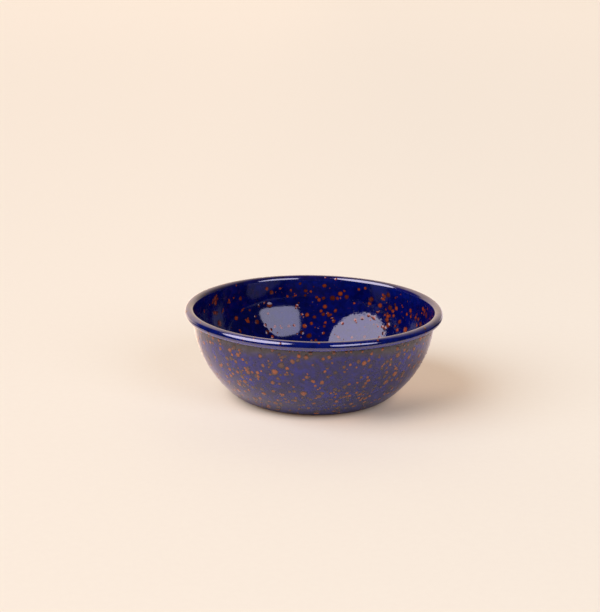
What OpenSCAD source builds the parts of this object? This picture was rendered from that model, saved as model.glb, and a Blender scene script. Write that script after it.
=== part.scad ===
// Enamel basin bowl: a pressed steel bowl with a rolled rim, enamelled inside and out.
// The axis of the bowl is Z, and it stands on z = 0.

/* [Bowl] */
// Outside diameter over the rolled rim
rim_d = 160; // [140:1:200]
// Height from the table to the top of the rim
bowl_h = 56.5; // [46:0.5:75]
// Outside diameter of the flat base
base_d = 80; // [60:1:96]
// Outside radius of the heel, where the base turns up into the side
heel_r = 19; // [10:0.5:26]
// Width of the flat ring that the bowl stands on
stand_w = 6; // [3:0.5:12]
// Rise of the middle of the base above the standing ring
base_lift = 0.6; // [0.2:0.1:1.5]

/* [Rolled rim] */
// Outside diameter of the roll, with its enamel
roll_d = 5.8; // [4.6:0.1:8]
// Gap between the rolled edge of the sheet and the wall behind it
roll_gap = 0.5; // [0.3:0.05:0.8]

/* [Sheet and enamel] */
// Thickness of the pressed steel sheet
steel_t = 0.6; // [0.4:0.05:0.8]
// Thickness of the fired enamel on each face of the sheet
enamel_t = 0.25; // [0.15:0.05:0.35]

/* [Hidden] */

enamel_blue = [0.02, 0.05, 0.3];
bare_steel = [0.6, 0.6, 0.62];

// Most that a drawn arc may fall short of the true one
chord = 0.01;
$fn = 180;

// Depths below the outside of the bowl: the two faces of the sheet, and the inside of the bowl
sheet_out = enamel_t;
sheet_in = enamel_t + steel_t;
inside = steel_t + 2 * enamel_t;

// The roll, whose inner side is flush with the inside of the wall
roll_r = roll_d / 2;
roll_c = [rim_d / 2 - roll_r, bowl_h - roll_r];
neck_r = rim_d / 2 - roll_d + inside;

// The side, an arc that is upright where it meets the roll and runs smoothly into the heel
heel_c = [base_d / 2, heel_r];
reach = neck_r - heel_c.x;
rise = roll_c.y - heel_c.y;
side_r = (reach ^ 2 + rise ^ 2 - heel_r ^ 2) / (2 * (reach - heel_r));
side_c = [neck_r - side_r, roll_c.y];
heel_top = atan2(heel_c.y - side_c.y, heel_c.x - side_c.x);

// The base panel, a shallow dome inside the standing ring
panel_r = base_d / 2 - stand_w;
dome_r = (panel_r ^ 2 + base_lift ^ 2) / (2 * base_lift);
dome_half = asin(panel_r / dome_r);

// The sheet is rolled outwards from the wall, over the top and under, until its gap is left
roll_start = 180;
roll_end = -acos((sheet_in + roll_gap - roll_r) / (roll_r - sheet_out));

function on_circle(c, r, a) = c + r * [cos(a), sin(a)];

function arc(c, r, from, to) =
    let (steps = ceil(abs(to - from) / (2 * acos(1 - chord / r))))
    [for (i = [0 : steps]) on_circle(c, r, from + (to - from) * i / steps)];

function reversed(points) = [for (i = [len(points) - 1 : -1 : 0]) points[i]];

function rest(points) = [for (i = [1 : len(points) - 1]) points[i]];

// Angle on the side arc at which the face of the wall at this depth runs into the roll
function under_roll(depth) =
    let (r = side_r - depth, apart = roll_c.x - side_c.x)
    -acos((apart ^ 2 + r ^ 2 - roll_r ^ 2) / (2 * apart * r));

// The face of the base panel at this depth, from the axis to the standing ring
function panel(depth) = arc([0, base_lift - dome_r + depth], dome_r, 90, 90 - dome_half);

// The face of the heel and side at this depth, from the base to an angle on the side arc
function side(depth, top) = concat(
    arc(heel_c, heel_r - depth, -90, heel_top),
    rest(arc(side_c, side_r - depth, heel_top, top))
);

// The face of the whole wall at this depth, from the axis to an angle on the side arc
function wall(depth, top) = concat(panel(depth), side(depth, top));

// The face of the roll at this depth, from the inside of the rim over the top to an angle
function roll(depth, end) = arc(roll_c, roll_r - depth, roll_start, end);

// The pressed sheet: base, heel, side and the hollow roll, all of one thickness
module steel_bowl() {
    underside = concat(wall(sheet_out, under_roll(sheet_out)), roll(sheet_in, roll_end));
    topside = concat(wall(sheet_in, 0), rest(roll(sheet_out, roll_end)));
    color(bare_steel)
        rotate_extrude()
            polygon(concat(underside, reversed(topside)));
}

// The coat that lines the bowl, from the middle of its floor to the start of the roll
module inner_enamel() {
    color(enamel_blue)
        rotate_extrude()
            polygon(concat(wall(sheet_in, 0), reversed(wall(inside, 0))));
}

// The coat on the outside, from the edge of the base up to the roll
module outer_enamel() {
    face = side(0, under_roll(0));
    back = side(sheet_out, under_roll(sheet_out));
    color(enamel_blue)
        rotate_extrude()
            polygon(concat(face, reversed(back)));
}

// The coat under the base, with the flat ring that the bowl stands on
module base_enamel() {
    edge = [[base_d / 2, 0], [base_d / 2, sheet_out]];
    color(enamel_blue)
        rotate_extrude()
            polygon(concat(panel(0), edge, reversed(panel(sheet_out))));
}

// The coat round the roll, which also fills and seals the gap behind the rolled edge
module rim_enamel() {
    neck = on_circle(side_c, side_r, under_roll(0)) - roll_c;
    face = roll(0, atan2(neck.y, neck.x));
    foot = on_circle(side_c, side_r - sheet_out, under_roll(sheet_out));
    wall_top = [neck_r - sheet_out, roll_c.y];
    edge = on_circle(roll_c, roll_r - sheet_in, roll_end);
    seal = foot + (wall_top - foot) * (edge.y - foot.y) / (wall_top.y - foot.y);
    color(enamel_blue)
        rotate_extrude()
            polygon(concat(face, [foot, seal, edge], reversed(roll(sheet_out, roll_end))));
}

steel_bowl();
inner_enamel();
outer_enamel();
base_enamel();
rim_enamel();
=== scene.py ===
"""Looks of the enamel basin bowl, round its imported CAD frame. Metres, +Z up, seen from -Y."""
import math
from collections import namedtuple

import bpy
import numpy as np
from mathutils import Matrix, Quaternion, Vector


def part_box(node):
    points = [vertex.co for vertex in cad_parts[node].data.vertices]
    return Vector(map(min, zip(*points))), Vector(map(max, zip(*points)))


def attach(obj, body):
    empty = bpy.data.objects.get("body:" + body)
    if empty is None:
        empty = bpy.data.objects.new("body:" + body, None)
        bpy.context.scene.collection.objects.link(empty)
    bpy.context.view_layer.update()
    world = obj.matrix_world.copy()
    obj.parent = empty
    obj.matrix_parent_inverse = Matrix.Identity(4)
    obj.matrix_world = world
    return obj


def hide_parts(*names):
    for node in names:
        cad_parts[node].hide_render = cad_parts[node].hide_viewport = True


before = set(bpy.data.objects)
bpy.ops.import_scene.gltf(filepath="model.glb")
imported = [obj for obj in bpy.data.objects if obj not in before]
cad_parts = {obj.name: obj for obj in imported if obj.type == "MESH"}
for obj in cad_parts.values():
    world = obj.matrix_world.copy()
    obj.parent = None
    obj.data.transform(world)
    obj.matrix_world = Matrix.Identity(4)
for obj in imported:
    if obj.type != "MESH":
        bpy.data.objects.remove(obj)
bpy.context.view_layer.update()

# Sizes read from the frame
RIM_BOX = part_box("rim_enamel")
BASE_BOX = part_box("base_enamel")
RIM_R = RIM_BOX[1].x
ROLL_R = (RIM_BOX[1].z - RIM_BOX[0].z) / 2
ROLL_C = (RIM_R - ROLL_R, RIM_BOX[1].z - ROLL_R)
BASE_R = BASE_BOX[1].x
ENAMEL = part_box("steel_bowl")[0].z - BASE_BOX[0].z
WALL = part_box("inner_enamel")[0].z + ENAMEL
BASE_LIFT = BASE_BOX[1].z - BASE_BOX[0].z - ENAMEL

# Sizes of the CAD source that no box shows
HEEL_R = 0.019
STAND_W = 0.006

# The wall's long arc, which runs from the heel to the roll and stands upright there
NECK_R = RIM_R - 2 * ROLL_R + WALL
HEEL_C = (BASE_R, HEEL_R)
REACH = NECK_R - BASE_R
RISE = ROLL_C[1] - HEEL_R
SIDE_R = (REACH**2 + RISE**2 - HEEL_R**2) / (2 * (REACH - HEEL_R))
SIDE_C = (NECK_R - SIDE_R, ROLL_C[1])
HEEL_TOP = math.degrees(math.atan2(HEEL_C[1] - SIDE_C[1], HEEL_C[0] - SIDE_C[0]))
PANEL_R = BASE_R - STAND_W

# Mesh steps: along the profile, on the roll, on the hidden face, and around
STEP = 0.0008
ROLL_STEP = 0.00018
BACK_EVERY = 5
AROUND = 256

# Slow waviness of the fired enamel
WAVE_SEED = 11
WAVE_COUNT = 14
WAVE_LONG = 0.034
WAVE_SHORT = 0.011
WAVE_SLOPE = 0.0045

# Kinds of fleck: number per square metre, middling radius, rise over radius, and the mesh of one
Kind = namedtuple("Kind", "density radius rise sides rings")
DROP = (14, (0.3, 0.55, 0.78, 1.0))
GRAIN = (8, (0.35, 0.7, 1.0))
LINING_FLECKS = (Kind(25000, 0.00148, 0.060, *DROP), Kind(6000, 0.00055, 0.20, *GRAIN))
RIM_FLECKS = (Kind(11000, 0.00085, 0.08, *DROP),)
WALL_FLECKS = (Kind(46000, 0.00145, 0.07, *DROP), Kind(12000, 0.00060, 0.25, *GRAIN))
BASE_FLECKS = (Kind(20000, 0.00105, 0.07, *DROP),)

# How the flecks vary, crowd and cluster
FLECK_SEED = 23
FLECK_SPREAD = 0.28
FLECK_RANGE = (0.5, 1.8)
FLECK_RISE = (0.6, 1.2)
FLECK_SINK = 0.000004
FLECK_SHARP = math.radians(60)
LOBES, LOBE_SIZE, LOBE_SHIFT, LOBE_TURN = (2, 3, 4), 0.10, 0.5, 6.28
AREA_STEPS = 400
OVERLAP_REACH, OVERLAP_SHARE = 0.9, 0.12
CLUSTER_SHARE = 0.20
CLUSTER_COUNT, CLUSTER_REACH, CLUSTER_SIZE = (1, 4), (0.8, 1.7), (0.45, 0.9)
END_MARGIN = 1.5
DENSE_SIDE = math.radians(20)
DENSE_GAIN = 0.5

# Enamel colours, linear: thin and bright on the roll, deep inside; the roll's underside is painted
# brighter as painted light, and the wall under the roll painted dark as painted shade
RIM_BLUE = (0.0008, 0.0050, 0.088)
CREST_BLUE = (0.0080, 0.0030, 0.044)
# Painted light: a brighter blue for the roll's underside
ROLL_UNDER_PAINTED_BLUE = (0.0010, 0.0080, 0.250)
LINING_BLUE = (0.0007, 0.0022, 0.056)
WALL_BLUE = (0.0030, 0.0040, 0.084)
WALL_DEEP_BLUE = (0.0010, 0.0055, 0.128)
# Painted shade: the dark colour of the band on the wall just under the roll
UNDER_ROLL_SHADE = (0.044, 0.034, 0.032)
DUST = (0.10, 0.025, 0.010)
SCUFF = (0.05, 0.055, 0.075)
STEEL_DARK, STEEL_LIGHT = (0.20, 0.20, 0.21), (0.42, 0.42, 0.43)

# Fleck colours, linear: dark core, bright core, edge
INSIDE_FLECK = ((0.055, 0.008, 0.004), (0.27, 0.041, 0.008), (0.030, 0.004, 0.006))
OUTSIDE_FLECK = ((0.070, 0.036, 0.020), (0.42, 0.090, 0.014), (0.012, 0.006, 0.012))

# Grains of noise: size of the features and detail
CLOUD_GRAIN = (0.018, 3.0)
MOTTLE_GRAIN = (0.0030, 1.0)
CREST_GRAIN = (0.014, 2.0)
WANDER_GRAIN = (0.020, 2.0)
PATCH_GRAIN = (0.006, 3.0)
PEEL_GRAIN = (0.0028, 2.5)
GLOSS_GRAIN = (0.012, 2.0)
SCUFF_GRAIN = (0.0014, 5.0)
RAGGED_GRAIN = (0.0005, 2.0)
TONE_GRAIN = (0.0007, 3.0)
FLECK_GLOSS_GRAIN = (0.004, 2.0)
STEEL_GRAIN = (0.0015, 4.0)
FIBRE_GRAIN = (0.004, 3.0)
NOISE_BAND = (0.3, 0.7)

# How each blue is laid; bands on the roll are shares of its radius, from its middle
CLOUD = (0.8, 1.2)
LINING_MOTTLE, WALL_MOTTLE = 0.25, 0.32
DUST_SCALE, DUST_BAND = 380.0, (0.11, 0.05)
LIP_FADE = 0.007
UNDER_BAND = (-0.2, -0.7)
CREST_BAND, CREST_REACH, CREST_RANGE = (0.1, 0.6), 0.5, (0.6, 1.0)
PATCH_BAND = (0.42, 0.66)
# Depth, fully dark share and uneven edge of the painted shade under the roll
UNDER_ROLL_SHADE_DEPTH, UNDER_ROLL_SHADE_FULL, WANDER = 0.0082, 0.3, 0.0020
SCUFF_EDGE, SCUFF_BAND, SCUFF_SHARE, SCUFF_DULL = 0.001, (0.40, 0.70), 0.6, 0.35

# How a fleck is coloured from its middle to its edge
RAGGED_BAND, RAGGED = (0.25, 0.75), 0.14
TONE_NOISE, TONE_OWN, TONE_BAND = 0.4, 0.8, (0.1, 1.0)
EDGE_BAND, MELT_BAND = (0.40, 0.85), (0.78, 1.0)

# Gloss, and the orange peel with its grit on both sides of the bowl
RIM_IOR, LINING_IOR, WALL_IOR = 1.96, 1.54, 1.63
RIM_PEEL, LINING_PEEL, WALL_PEEL = 0.000010, 0.000020, 0.000030
GRIT, RIGHT_GRIT, LEFT_GRIT = 0.7, 6.0, 4.0
RIGHT_GRIT_X, LEFT_GRIT_X = (-0.02, 0.068), (-0.05, -0.068)
GLOSS, BASE_GLOSS, FLECK_GLOSS = (0.045, 0.085), (0.05, 0.1), (0.06, 0.12)
STEEL_GLOSS, STEEL_BUMP, STEEL_PEEL = (0.35, 0.55), 0.6, 0.00002

# Floor: its paper, and what it adds for the camera and in reflections
FLOOR_R, FLOOR_Z, FLOOR_SIDES = 8.0, -0.0001, 96
FLOOR_PAPER = (0.430, 0.524, 0.426)
FIBRE = (0.985, 1.0)
FLOOR_SHINE = (1.0, 0.86, 0.68)
# Painted shade in reflections of the floor: darker towards the right, and near where the bowl stands
SHINE_SIDES, SHINE_DRIFT = (-0.09, 0.09), (1.08, 0.89)
CONTACT_EDGE, CONTACT_SHADE = (0.043, 0.058), 0.20
FLOOR_GLOW = (0.451, 0.274, 0.177)
GLOW_EDGE = (0.0375, 0.0572)
GLOW_SIDES, GLOW_DRIFT = (-0.2, 0.2), (1.03, 0.95)
FAR_EDGE, FAR_GLOW = (0.5, 4.0), 0.07
BACK_BAND, BACK_GLOW = (0.5, 0.77), 0.5
BACK_LEFT, BACK_RIGHT, BACK_SIDES = (1.50, 1.12, 0.62), (0.88, 0.81, 0.88), (-0.12, 0.03)
# Painted shade: a soft streak on the floor beside the bowl, taken out of the camera's glow
SHADE_AT = (0.047, -0.032, 0.0)
SHADE_WAY, SHADE_SIDE = (0.862, 0.507, 0.0), (0.507, -0.862, 0.0)
SHADE_NEAR, SHADE_FAR = (-0.040, 0.0), (0.080, -0.020)
SHADE_HALF, SHADE_DEPTH = 0.032, 0.52
STAGE_CENTRE = (-0.01, -0.01, 0.0)
STAGE_BACK = (-0.17, 0.985, 0.0)
STAGE_EDGE = (0.25, 0.16)

# Backdrop
CREAM = (0.947, 0.815, 0.694)
DIM = (0.020, 0.020, 0.024)
SWEEP = (1.38, 1.05, 0.80)
SWEEP_LEFT, SWEEP_RIGHT = (-0.92, -0.75), (1.05, 0.0)
SWEEP_TOP, SWEEP_FRONT = (1.0, 0.62), (0.05, 0.30)
SWEEP_LEAN = -0.3

# Lights
KEY_COLOUR = (0.88, 0.80, 1.0)
KEY_AZIMUTH, KEY_ELEVATION, KEY_ANGLE = -63.0, 42.5, 55.0
KEY_STRENGTH = 3.9
FILL_COLOUR = (0.76, 0.73, 1.0)
FILL_AZIMUTH, FILL_DISTANCE = 37.0, 4.0
FILL_HALF_AZIMUTH = 22.5
FILL_LOW, FILL_HIGH = 14.9, 49.5
FILL_LEAN, FILL_WIDTH, FILL_TAPER = 0.07, 0.95, 0.13
FILL_CORNER, FILL_EDGE = 4.0, (1.0, 0.85)
FILL_RADIANCE = 3.7

# Camera, fitted to the bowl's outline in the photograph
CAMERA_AT = Vector((0.0, -0.86130, 0.29497))
CAMERA_AIM = Vector((-0.008615, 0.0, 0.056166))
CAMERA_ROLL = math.radians(0.85)
CAMERA_LENS, CAMERA_SENSOR = 84.574, 36.0


# Profile of the enamel's outer face

def arc(centre, radius, start, end, step):
    """Points (r, z) on an arc between two angles in degrees, about step apart."""
    count = max(2, math.ceil(abs(math.radians(end - start)) * radius / step) + 1)
    turn = np.radians(np.linspace(start, end, count))
    return np.stack([centre[0] + radius * np.cos(turn), centre[1] + radius * np.sin(turn)], 1)


def line(start, end, step):
    """Points (r, z) on a straight run, about step apart."""
    count = max(2, math.ceil(math.dist(start, end) / step) + 1)
    return np.linspace(start, end, count)


def dome(depth):
    """The shallow dome in the base, from its edge to the axis, at a depth above the underside."""
    curve = (PANEL_R**2 + BASE_LIFT**2) / (2 * BASE_LIFT)
    centre = (0.0, BASE_LIFT + depth - curve)
    half = math.degrees(math.asin(PANEL_R / curve))
    return arc(centre, curve, 90 - half, 90, STEP)


class Skin:
    """A run of the enamel's face: (r, z) points, the distance along it, and normals on its left."""

    def __init__(self, *runs):
        points = [runs[0]] + [run[1:] for run in runs[1:]]
        self.points = np.concatenate(points)
        steps = np.linalg.norm(np.diff(self.points, axis=0), axis=1)
        self.along = np.concatenate([[0.0], np.cumsum(steps)])
        ends = np.cumsum([len(run) for run in points]) - 1
        self.marks = [0.0] + [float(self.along[end]) for end in ends]
        slope = np.gradient(self.points, self.along, axis=0)
        normal = np.stack([-slope[:, 1], slope[:, 0]], 1)
        self.normals = normal / np.linalg.norm(normal, axis=1, keepdims=True)

    def at(self, along):
        """(r, z) and the normal (r, z) at distances along the run."""
        def read(table):
            return np.stack([np.interp(along, self.along, table[:, k]) for k in (0, 1)], -1)
        normal = read(self.normals)
        return read(self.points), normal / np.linalg.norm(normal, axis=-1, keepdims=True)

    def place(self, along, turn):
        """Points and normals in space at distances along the run and angles round the axis."""
        (flat, normal), cos, sin = self.at(along), np.cos(turn), np.sin(turn)
        spread = [np.stack([v[..., 0] * cos, v[..., 0] * sin, v[..., 1] * np.ones_like(cos)], -1)
                  for v in (flat, normal)]
        return spread[0], spread[1]


def roll_foot():
    """The angle on the roll, in degrees, where its underside meets the wall's outer face."""
    reach = ROLL_C[0] - SIDE_C[0]
    across = (reach**2 + SIDE_R**2 - ROLL_R**2) / (2 * reach)
    drop = math.sqrt(SIDE_R**2 - across**2)
    return math.degrees(math.atan2(-drop, SIDE_C[0] + across - ROLL_C[0]))


def inside_skin():
    """The face from the middle of the floor up the inside and over the roll to the wall."""
    return Skin(dome(WALL)[::-1],
                line((PANEL_R, WALL), (BASE_R, WALL), STEP),
                arc(HEEL_C, HEEL_R - WALL, -90, HEEL_TOP, STEP),
                arc(SIDE_C, SIDE_R - WALL, HEEL_TOP, 0, STEP),
                arc(ROLL_C, ROLL_R, 180, roll_foot(), ROLL_STEP))


def outside_skin():
    """The face from under the roll down the outside to the middle of the base."""
    foot = math.radians(roll_foot())
    drop, out = ROLL_R * math.sin(foot), ROLL_C[0] + ROLL_R * math.cos(foot) - SIDE_C[0]
    return Skin(arc(SIDE_C, SIDE_R, math.degrees(math.atan2(drop, out)), HEEL_TOP, STEP),
                arc(HEEL_C, HEEL_R, HEEL_TOP, -90, STEP),
                line((BASE_R, 0), (PANEL_R, 0), STEP),
                dome(0.0))


INSIDE, OUTSIDE = inside_skin(), outside_skin()
LIP, FOOT = INSIDE.marks[4:]
HEEL, PANEL, MIDDLE = OUTSIDE.marks[2:]
# Height where the wall meets the roll, the top of the painted shade band
ROLL_FOOT_Z = float(OUTSIDE.points[0, 1])


def wave_table():
    """Random plane waves: their wave vectors, phases and heights."""
    rng = np.random.default_rng(WAVE_SEED)
    way = rng.normal(size=(WAVE_COUNT, 3))
    way /= np.linalg.norm(way, axis=1, keepdims=True)
    length = np.geomspace(WAVE_LONG, WAVE_SHORT, WAVE_COUNT)
    number = 2 * math.pi / length
    height = WAVE_SLOPE / number / math.sqrt(WAVE_COUNT / 2)
    return way * number[:, None], rng.uniform(0, 2 * math.pi, WAVE_COUNT), height


WAVES = wave_table()


def waved(points, normals):
    """Points lifted along their normals by the slow waviness, and the normals that it gives."""
    vectors, phases, heights = WAVES
    turn = points @ vectors.T + phases
    lift = (np.sin(turn) * heights).sum(-1, keepdims=True)
    slope = (np.cos(turn) * heights) @ vectors
    slope -= (slope * normals).sum(-1, keepdims=True) * normals
    tilted = normals - slope
    return points + normals * lift, tilted / np.linalg.norm(tilted, axis=-1, keepdims=True)


# Meshes

# A zone of the bowl: a stretch of a skin, its ground colour, its orange peel and its gloss
Zone = namedtuple("Zone", "skin start end ground peel ior")


def new_object(name, data):
    """An object in the scene."""
    thing = bpy.data.objects.new(name, data)
    bpy.context.scene.collection.objects.link(thing)
    return thing


def mesh_object(name, points, faces):
    """An object with a smooth mesh, riding on the bowl's one body."""
    mesh = bpy.data.meshes.new(name)
    mesh.from_pydata(points.tolist(), [], faces)
    mesh.validate()
    mesh.polygons.foreach_set("use_smooth", [True] * len(mesh.polygons))
    piece = new_object(name, mesh)
    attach(piece, "root")
    return piece


def ring_faces(count, first, second):
    """Quads between two rings of vertices, each given by its first index."""
    sides = [(i, (i + 1) % count) for i in range(count)]
    return [(first + i, first + j, second + j, second + i) for i, j in sides]


def fan_faces(count, ring, pole, flip):
    """Triangles between a ring and one vertex."""
    rim = [(ring + i, ring + (i + 1) % count) for i in range(count)]
    return [(b, a, pole) if flip else (a, b, pole) for a, b in rim]


def coat(name, node, zone, step, material):
    """A closed coat that stands for a CAD node: a fine, slightly wavy face, and one on the steel."""
    count = max(2, math.ceil((zone.end - zone.start) / step) + 1)
    along = np.linspace(zone.start, zone.end, count)
    turn = np.linspace(0, 2 * math.pi, AROUND, endpoint=False)
    face, normals = zone.skin.place(along[:, None], turn[None, :])
    face, shown = waved(face, normals)
    kept = sorted(set(range(0, count, BACK_EVERY)) | {count - 1}, reverse=True)
    plain, plain_normals = zone.skin.place(along[kept][:, None], turn[None, :])
    back = plain - plain_normals * ENAMEL
    rings = list(zip(face, shown)) + list(zip(back, -plain_normals))
    points, normal_list, starts = [], [], []
    for ring, ring_normals in rings:
        pole = np.hypot(ring[:, 0], ring[:, 1]).max() < STEP / 10
        starts.append((len(points), pole))
        points.extend(ring[:1] if pole else ring)
        normal_list.extend(ring_normals[:1] if pole else ring_normals)
    faces = []
    for (low, low_pole), (high, high_pole) in zip(starts, starts[1:] + starts[:1]):
        if low_pole and high_pole:
            continue
        if low_pole:
            faces += fan_faces(AROUND, high, low, False)
        elif high_pole:
            faces += fan_faces(AROUND, low, high, True)
        else:
            faces += ring_faces(AROUND, high, low)
    piece = mesh_object(name, np.array(points), faces)
    piece.data.normals_split_custom_set_from_vertices([tuple(n) for n in normal_list])
    piece.data.materials.append(material)
    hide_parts(node)
    return piece


# Flecks

def fleck_sites(rng, zone, kind, lean):
    """Random fleck places: distance along the skin, angle, radius. lean makes one side denser."""
    skin, start, end = zone.skin, zone.start, zone.end
    least, most = (kind.radius * share for share in FLECK_RANGE)
    grid = np.linspace(start, end, AREA_STEPS)
    radius = skin.at(grid)[0][:, 0]
    bands = 2 * math.pi * (radius[1:] + radius[:-1]) / 2 * np.diff(grid)
    area = np.concatenate([[0.0], np.cumsum(bands)])
    sites, spots = [], np.empty((0, 4))
    while len(sites) < kind.density * area[-1]:
        along = np.interp(rng.uniform(0, area[-1]), area, grid)
        turn = rng.uniform(0, 2 * math.pi)
        size = kind.radius * math.exp(FLECK_SPREAD * rng.normal())
        size = float(np.clip(size, least, most))
        if rng.uniform() > (1 + lean * math.cos(turn - DENSE_SIDE)) / (1 + abs(lean)):
            continue
        spot = skin.place(np.array(along), np.array(turn))[0]
        apart = np.linalg.norm(spots[:, :3] - spot, axis=1)
        gaps = apart - OVERLAP_REACH * (spots[:, 3] + size)
        if len(gaps) and gaps.min() < 0 and rng.uniform() > OVERLAP_SHARE:
            continue
        spots = np.vstack([spots, [*spot, size]])
        sites.append((along, turn, size))
        if rng.uniform() < CLUSTER_SHARE:
            for _ in range(rng.integers(*CLUSTER_COUNT)):
                way, far = rng.uniform(0, 2 * math.pi), size * rng.uniform(*CLUSTER_REACH)
                around = max(float(np.interp(along, grid, radius)), far)
                sites.append((along + far * math.cos(way), turn + far * math.sin(way) / around,
                              max(least, size * rng.uniform(*CLUSTER_SIZE))))
    return [site for site in sites if start + site[2] < site[0] < end - END_MARGIN * site[2]]


def fleck_mesh(rng, skin, site, kind):
    """One fleck, a closed low lens with an uneven outline, and how near its edge each point is."""
    along, turn, size = site
    angles = np.linspace(0, 2 * math.pi, kind.sides, endpoint=False)
    outline = np.ones(kind.sides)
    for lobes in LOBES:
        height = rng.normal(0, LOBE_SIZE / (lobes - LOBE_SHIFT))
        outline += height * np.cos(lobes * angles + rng.uniform(0, LOBE_TURN))
    share = np.concatenate([[0.0], np.repeat(kind.rings, kind.sides)])
    reach = np.concatenate([[0.0], *(ring * outline for ring in kind.rings)]) * size
    way = np.concatenate([[0.0], np.tile(angles, len(kind.rings))])
    around = skin.at(np.array([along]))[0][0, 0]
    spot, normal = skin.place(along + reach * np.cos(way), turn + reach * np.sin(way) / around)
    base, _ = waved(spot, normal)
    rise = size * kind.rise * rng.uniform(*FLECK_RISE)
    top = base + normal * (rise * (1 - share**2) ** 2 - FLECK_SINK * share)[:, None]
    bottom = base[:1] - normal[:1] * min(rise, ENAMEL / 2)
    faces = fan_faces(kind.sides, 1, 0, False)
    for k in range(len(kind.rings) - 1):
        faces += ring_faces(kind.sides, 1 + (k + 1) * kind.sides, 1 + k * kind.sides)
    faces += fan_faces(kind.sides, 1 + (len(kind.rings) - 1) * kind.sides, len(share), True)
    return np.concatenate([top, bottom]), faces, np.append(share, 1.0)


def fleck_piece(name, rng, zone, kinds, lean, material):
    """Fired droplets and fine grains of orange-brown enamel on a zone of the bowl."""
    points, faces, rho, tone = [], [], [], []
    for kind in kinds:
        for site in fleck_sites(rng, zone, kind, lean):
            spots, corners, share = fleck_mesh(rng, zone.skin, site, kind)
            faces += [tuple(len(points) + corner for corner in face) for face in corners]
            points.extend(spots)
            rho.extend(share)
            tone.extend([rng.uniform()] * len(share))
    piece = mesh_object(name, np.array(points), faces)
    for label, values in (("rho", rho), ("tone", tone)):
        layer = piece.data.attributes.new(label, "FLOAT", "POINT")
        layer.data.foreach_set("value", np.array(values, np.float32))
    piece.data.set_sharp_from_angle(angle=FLECK_SHARP)
    piece.data.materials.append(material)
    return piece


# Materials

class Nodes:
    """A node tree with short calls for the few nodes that the materials use."""

    # Sockets of the mix node that carry colours
    MIX_FIRST, MIX_SECOND, MIX_RESULT = 6, 7, 2

    def __init__(self, tree):
        self.tree = tree
        tree.nodes.clear()

    def add(self, kind, inputs=None, **settings):
        node = self.tree.nodes.new("ShaderNode" + kind)
        for name, value in settings.items():
            setattr(node, name, value)
        for name, value in (inputs or {}).items():
            self.put(node.inputs[name], value)
        return node

    def put(self, socket, value):
        if isinstance(value, bpy.types.NodeSocket):
            self.tree.links.new(value, socket)
        elif isinstance(value, tuple) and len(value) == 3 and socket.type == "RGBA":
            socket.default_value = (*value, 1.0)
        else:
            socket.default_value = value

    def surface(self, shader, kind="Material"):
        """The tree's output."""
        self.add("Output" + kind, {"Surface": shader})

    def place(self):
        return self.add("TexCoord").outputs["Object"]

    def axis(self, name):
        """One coordinate of the place."""
        return self.add("SeparateXYZ", {"Vector": self.place()}).outputs[name]

    def noise(self, size, detail):
        """Noise from 0 to 1 whose features are about size metres."""
        inputs = {"Vector": self.place(), "Scale": 1 / size, "Detail": detail}
        return self.add("TexNoise", inputs).outputs["Fac"]

    def varied(self, grain, low, high):
        """Noise of a grain, stretched over a range of values."""
        return self.remap(self.noise(*grain), *NOISE_BAND, low, high)

    def mix(self, factor, first, second):
        node = self.add("Mix", {"Factor": factor}, data_type="RGBA")
        self.put(node.inputs[self.MIX_FIRST], first)
        self.put(node.inputs[self.MIX_SECOND], second)
        return node.outputs[self.MIX_RESULT]

    def scaled(self, colour, factor):
        node = self.add("VectorMath", {0: colour, "Scale": factor}, operation="SCALE")
        return node.outputs["Vector"]

    def vector(self, operation, first, second=(0.0, 0.0, 0.0)):
        """The outputs of a vector operation."""
        return self.add("VectorMath", {0: first, 1: second}, operation=operation).outputs

    def math(self, operation, first, second=0.0):
        return self.add("Math", {0: first, 1: second}, operation=operation).outputs[0]

    def product(self, first, *others):
        for other in others:
            first = self.math("MULTIPLY", first, other)
        return first

    def both(self, first, second):
        """The sum of two shaders."""
        return self.add("AddShader", {0: first, 1: second}).outputs[0]

    def remap(self, value, low, high, to_low=0.0, to_high=1.0):
        """A value moved smoothly from one range to another."""
        inputs = {"Value": value, "From Min": low, "From Max": high,
                  "To Min": to_low, "To Max": to_high}
        return self.add("MapRange", inputs, interpolation_type="SMOOTHSTEP").outputs[0]


def new_material(name):
    material = bpy.data.materials.new(name)
    material.use_nodes = True
    return material, Nodes(material.node_tree)


def clouded(t, colour, mottle):
    """A ground colour with clouds, a fine mottle and brown dust."""
    cloud = t.product(t.varied(CLOUD_GRAIN, *CLOUD),
                      t.varied(MOTTLE_GRAIN, 1 - mottle, 1 + mottle))
    dust = t.add("TexVoronoi", {"Vector": t.place(), "Scale": DUST_SCALE}).outputs["Distance"]
    return t.mix(t.remap(dust, *DUST_BAND), t.scaled(colour, cloud), DUST)


def lining_ground(t):
    """Deep blue, which turns to the roll's blue at the lip."""
    lip = t.remap(t.axis("Z"), ROLL_C[1] - LIP_FADE, ROLL_C[1])
    return clouded(t, t.mix(lip, LINING_BLUE, RIM_BLUE), LINING_MOTTLE)


def rim_ground(t):
    """The roll's blue, duller on its crest and inner side, and painted brighter underneath as
    painted light.
    """
    height = t.axis("Z")
    # Painted light: the downward-facing side of the roll takes the brighter blue
    under, high = (t.remap(height, *(ROLL_C[1] + share * ROLL_R for share in band))
                   for band in (UNDER_BAND, CREST_BAND))
    flat = t.vector("MULTIPLY", t.place(), (1.0, 1.0, 0.0))["Vector"]
    spread = t.vector("LENGTH", flat)["Value"]
    inward = t.remap(spread, ROLL_C[0] + CREST_REACH * ROLL_R, ROLL_C[0])
    crest = t.product(high, inward, t.varied(CREST_GRAIN, *CREST_RANGE))
    top = t.mix(crest, RIM_BLUE, CREST_BLUE)
    return clouded(t, t.mix(under, top, ROLL_UNDER_PAINTED_BLUE), LINING_MOTTLE)


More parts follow.
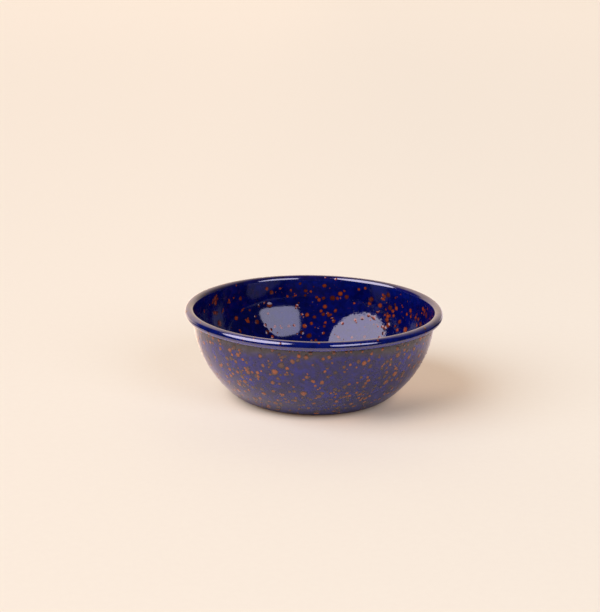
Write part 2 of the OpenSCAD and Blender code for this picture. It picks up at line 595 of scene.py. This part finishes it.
def wall_ground(t):
    """Two blues in patches, and an uneven band of painted shade on the wall under the roll, where
    the roll's overhang shades it.
    """
    height = t.math("ADD", t.axis("Z"), t.varied(WANDER_GRAIN, -WANDER, WANDER))
    # Painted shade: the wall darkened for a few millimetres under the roll's overhang
    roll_shade = t.remap(height, ROLL_FOOT_Z - UNDER_ROLL_SHADE_DEPTH, ROLL_FOOT_Z - UNDER_ROLL_SHADE_FULL * UNDER_ROLL_SHADE_DEPTH)
    patch = t.remap(t.noise(*PATCH_GRAIN), *PATCH_BAND)
    blue = t.mix(patch, WALL_BLUE, WALL_DEEP_BLUE)
    return clouded(t, t.mix(roll_shade, blue, UNDER_ROLL_SHADE), WALL_MOTTLE)


def base_ground(t):
    return clouded(t, WALL_BLUE, WALL_MOTTLE)


def enamel_surface(t, colour, roughness, zone):
    """Glossy fired enamel with an orange-peel surface, grittier towards both sides."""
    across = t.axis("X")
    gritty = t.math("MAXIMUM", t.remap(across, *RIGHT_GRIT_X, GRIT, RIGHT_GRIT),
                    t.remap(across, *LEFT_GRIT_X, GRIT, LEFT_GRIT))
    height = t.product(t.noise(*PEEL_GRAIN), gritty)
    bump = t.add("Bump", {"Height": height, "Strength": 1.0, "Distance": zone.peel})
    shader = t.add("BsdfPrincipled", {"Base Color": colour, "Roughness": roughness,
                                      "IOR": zone.ior, "Normal": bump.outputs["Normal"]})
    t.surface(shader.outputs["BSDF"])


def blue_enamel(name, zone):
    material, t = new_material(name)
    enamel_surface(t, zone.ground(t), t.varied(GLOSS_GRAIN, *GLOSS), zone)
    return material


def base_enamel(zone):
    """The blue enamel, scuffed dull on the ring that the bowl stands on."""
    material, t = new_material("base_enamel")
    spread = t.vector("LENGTH", t.place())["Value"]
    on_ring = t.remap(spread, PANEL_R - SCUFF_EDGE, PANEL_R + SCUFF_EDGE)
    scuff = t.product(on_ring, t.remap(t.noise(*SCUFF_GRAIN), *SCUFF_BAND))
    colour = t.mix(t.product(scuff, SCUFF_SHARE), zone.ground(t), SCUFF)
    roughness = t.math("ADD", t.varied(GLOSS_GRAIN, *BASE_GLOSS), t.product(scuff, SCUFF_DULL))
    enamel_surface(t, colour, roughness, zone)
    return material


def fleck_enamel(name, zone, colours):
    """Orange-brown droplets: mottled, darker and redder at the edge, melting into the ground."""
    dark, bright, edge = colours
    material, t = new_material(name)
    rho, tone = (t.add("Attribute", attribute_name=label).outputs["Fac"]
                 for label in ("rho", "tone"))
    ragged = t.math("ADD", rho, t.remap(t.noise(*RAGGED_GRAIN), *RAGGED_BAND, -RAGGED, RAGGED))
    mottle = t.math("ADD", t.product(t.noise(*TONE_GRAIN), TONE_NOISE), t.product(tone, TONE_OWN))
    core = t.mix(t.remap(mottle, *TONE_BAND), dark, bright)
    edged = t.mix(t.remap(ragged, *EDGE_BAND), core, edge)
    colour = t.mix(t.remap(ragged, *MELT_BAND), edged, zone.ground(t))
    enamel_surface(t, colour, t.varied(FLECK_GLOSS_GRAIN, *FLECK_GLOSS), zone)
    return material


def sheet_steel():
    """Bare pressed steel under the enamel, hidden on a sound bowl."""
    material, t = new_material("sheet_steel")
    grain = t.noise(*STEEL_GRAIN)
    bump = t.add("Bump", {"Height": grain, "Strength": STEEL_BUMP, "Distance": STEEL_PEEL})
    shader = t.add("BsdfPrincipled", {"Base Color": t.mix(grain, STEEL_DARK, STEEL_LIGHT),
                                      "Metallic": 1.0,
                                      "Roughness": t.remap(grain, *NOISE_BAND, *STEEL_GLOSS),
                                      "Normal": bump.outputs["Normal"]})
    t.surface(shader.outputs["BSDF"])
    return material


# Studio

def floor_paper():
    """Paper that is pale to the camera and in reflections, with painted shade round the bowl, and
    still takes the shadow.
    """
    material, t = new_material("floor_paper")
    ray = t.add("LightPath").outputs
    mirrored = ray["Is Glossy Ray"]
    seen = t.math("MAXIMUM", ray["Is Camera Ray"], ray["Is Transmission Ray"])
    across = t.axis("X")
    far = t.vector("LENGTH", t.place())["Value"]
    off = t.vector("DISTANCE", t.place(), STAGE_CENTRE)["Value"]
    back = t.vector("DOT_PRODUCT", t.place(), STAGE_BACK)["Value"]
    behind = t.remap(t.math("DIVIDE", back, far), *BACK_BAND)

    # The paper itself; in reflections its colour is darkened as painted shade where the bowl stands
    # on it and towards the right
    reflected_shade = t.product(t.remap(far, *CONTACT_EDGE, CONTACT_SHADE, 1.0),
                        t.remap(across, *SHINE_SIDES, *SHINE_DRIFT))
    tint = t.mix(mirrored, FLOOR_PAPER, t.scaled(FLOOR_SHINE, reflected_shade))
    paper = t.add("BsdfDiffuse", {"Color": t.scaled(tint, t.varied(FIBRE_GRAIN, *FIBRE))})

    # A glow that the camera sees round the bowl, fading out towards its base and drifting a little
    # lower to the right as painted shade, less a painted streak of shade beside it
    place = t.vector("SUBTRACT", t.place(), SHADE_AT)["Vector"]
    along, aside = (t.vector("DOT_PRODUCT", place, way)["Value"]
                    for way in (SHADE_WAY, SHADE_SIDE))
    shade = t.product(t.remap(along, *SHADE_NEAR), t.remap(along, *SHADE_FAR),
                      t.remap(t.math("ABSOLUTE", aside), SHADE_HALF, 0.0, 0.0, SHADE_DEPTH))
    glow = t.product(seen, t.remap(across, *GLOW_SIDES, *GLOW_DRIFT), t.remap(far, *GLOW_EDGE),
                     t.math("SUBTRACT", 1.0, shade))
    near = t.add("Emission", {"Color": FLOOR_GLOW, "Strength": glow})

    # A glow far off for the camera, and one behind the bowl in reflections
    away = t.math("ADD", t.product(seen, t.remap(far, *FAR_EDGE, 0.0, FAR_GLOW)),
                  t.product(mirrored, behind, BACK_GLOW))
    tint_behind = t.mix(t.remap(across, *BACK_SIDES), BACK_LEFT, BACK_RIGHT)
    sweep = t.add("Emission", {"Color": t.mix(mirrored, CREAM, tint_behind), "Strength": away})

    # Off the stage, reflections find a dim floor
    lit = t.math("MAXIMUM", t.remap(off, *STAGE_EDGE), behind)
    unlit = t.product(t.math("SUBTRACT", 1.0, lit), mirrored)
    stage = t.both(t.both(paper.outputs[0], near.outputs[0]), sweep.outputs[0])
    dim = t.add("Emission", {"Color": DIM}).outputs[0]
    t.surface(t.add("MixShader", {0: unlit, 1: stage, 2: dim}).outputs[0])
    return material


def make_floor():
    """A wide round floor just under the bowl."""
    turn = np.linspace(0, 2 * math.pi, FLOOR_SIDES, endpoint=False)
    level = np.full(FLOOR_SIDES, FLOOR_Z)
    points = np.stack([FLOOR_R * np.cos(turn), FLOOR_R * np.sin(turn), level], 1)
    mesh = bpy.data.meshes.new("floor")
    mesh.from_pydata(points.tolist(), [], [tuple(range(FLOOR_SIDES))])
    floor = new_object("floor", mesh)
    mesh.materials.append(floor_paper())


def make_world():
    """A dim studio with a wide pale backdrop behind the bowl, and pale all round to the camera."""
    world = bpy.data.worlds.new("studio")
    bpy.context.scene.world = world
    world.use_nodes = True
    t = Nodes(world.node_tree)
    way = t.add("SeparateXYZ", {"Vector": t.add("TexCoord").outputs["Generated"]}).outputs
    left = t.math("ADD", way["X"], t.product(way["Z"], SWEEP_LEAN))
    wide = t.product(t.remap(left, *SWEEP_LEFT), t.remap(way["X"], *SWEEP_RIGHT))
    high = t.product(t.remap(way["Z"], *SWEEP_TOP), t.remap(way["Y"], *SWEEP_FRONT))
    studio = t.mix(t.product(wide, high), DIM, SWEEP)
    seen = t.add("LightPath").outputs["Is Camera Ray"]
    sky = t.add("Background", {"Color": t.mix(seen, studio, CREAM)})
    t.surface(sky.outputs[0], "World")


def bearing(azimuth, elevation):
    """A unit vector; azimuth 0 is towards the camera and positive to its right, in degrees."""
    a, e = math.radians(azimuth), math.radians(elevation)
    return Vector((math.sin(a) * math.cos(e), -math.cos(a) * math.cos(e), math.sin(e)))


def make_key():
    """The key light, a large round softbox up on the left."""
    key = bpy.data.lights.new("key_softbox", "SUN")
    key.color = KEY_COLOUR
    key.energy = KEY_STRENGTH
    key.angle = math.radians(KEY_ANGLE)
    lamp = new_object("key_softbox", key)
    towards = bearing(KEY_AZIMUTH, KEY_ELEVATION)
    lamp.rotation_euler = towards.to_track_quat("Z", "Y").to_euler()


def make_fill():
    """A softbox standing on the right, narrower at the top and with rounded corners."""
    low, high = (FILL_DISTANCE * math.tan(math.radians(e)) for e in (FILL_LOW, FILL_HIGH))
    fill = bpy.data.lights.new("fill_softbox", "AREA")
    fill.shape = "RECTANGLE"
    fill.size = 2 * FILL_DISTANCE * math.tan(math.radians(FILL_HALF_AZIMUTH))
    fill.size_y = high - low
    fill.color = FILL_COLOUR
    # Blender spreads an area light's power over four times its area
    fill.energy = FILL_RADIANCE * 4 * fill.size * fill.size_y
    fill.use_nodes = True
    t = Nodes(fill.node_tree)
    way = t.add("SeparateXYZ", {"Vector": t.add("NewGeometry").outputs["Parametric"]}).outputs
    across, up = (t.math("SUBTRACT", t.product(way[k], 2.0), 1.0) for k in ("X", "Y"))
    width = t.math("SUBTRACT", FILL_WIDTH, t.product(up, FILL_TAPER))
    aside = t.math("DIVIDE", t.math("ADD", across, t.product(up, FILL_LEAN)), width)
    above = t.math("ADD", up, t.product(across, FILL_LEAN))
    corners = [t.math("POWER", t.math("ABSOLUTE", v), FILL_CORNER) for v in (aside, above)]
    face = t.remap(t.math("ADD", *corners), *FILL_EDGE)
    t.surface(t.add("Emission", {"Strength": face}).outputs[0], "Light")
    lamp = new_object("fill_softbox", fill)
    away = bearing(FILL_AZIMUTH, 0.0)
    lamp.location = away * FILL_DISTANCE + Vector((0, 0, (low + high) / 2))
    lamp.rotation_euler = away.to_track_quat("Z", "Y").to_euler()
    lamp.visible_camera = False


def make_camera():
    data = bpy.data.cameras.new("camera")
    data.lens = CAMERA_LENS
    data.sensor_width = CAMERA_SENSOR
    camera = new_object("camera", data)
    camera.location = CAMERA_AT
    look = (CAMERA_AIM - CAMERA_AT).to_track_quat("-Z", "Y")
    camera.rotation_euler = (look @ Quaternion((0, 0, 1), CAMERA_ROLL)).to_euler()
    bpy.context.scene.camera = camera


# The bowl

lining = Zone(INSIDE, 0.0, LIP, lining_ground, LINING_PEEL, LINING_IOR)
rim = Zone(INSIDE, LIP, FOOT, rim_ground, RIM_PEEL, RIM_IOR)
wall = Zone(OUTSIDE, 0.0, HEEL, wall_ground, WALL_PEEL, WALL_IOR)
base = Zone(OUTSIDE, HEEL, MIDDLE, base_ground, WALL_PEEL, WALL_IOR)
panel = base._replace(start=PANEL)

for coat_name, node, zone, step in (
        ("lining", "inner_enamel", lining, STEP),
        ("rim_coat", "rim_enamel", rim, ROLL_STEP),
        ("wall_coat", "outer_enamel", wall, STEP)):
    coat(coat_name, node, zone, step, blue_enamel(node, zone))
coat("base_coat", "base_enamel", base, STEP, base_enamel(base))

draw = np.random.default_rng(FLECK_SEED)
for fleck_name, zone, kinds, lean, colours in (
        ("lining_flecks", lining, LINING_FLECKS, DENSE_GAIN, INSIDE_FLECK),
        ("rim_flecks", rim, RIM_FLECKS, 0.0, INSIDE_FLECK),
        ("wall_flecks", wall, WALL_FLECKS, 0.0, OUTSIDE_FLECK),
        ("base_flecks", panel, BASE_FLECKS, 0.0, OUTSIDE_FLECK)):
    fleck_piece(fleck_name, draw, zone, kinds, lean, fleck_enamel(fleck_name, zone, colours))

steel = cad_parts["steel_bowl"]
steel.data.materials.clear()
steel.data.materials.append(sheet_steel())

make_floor()
make_world()
make_key()
make_fill()
make_camera()
bpy.context.scene.view_settings.view_transform = "Standard"
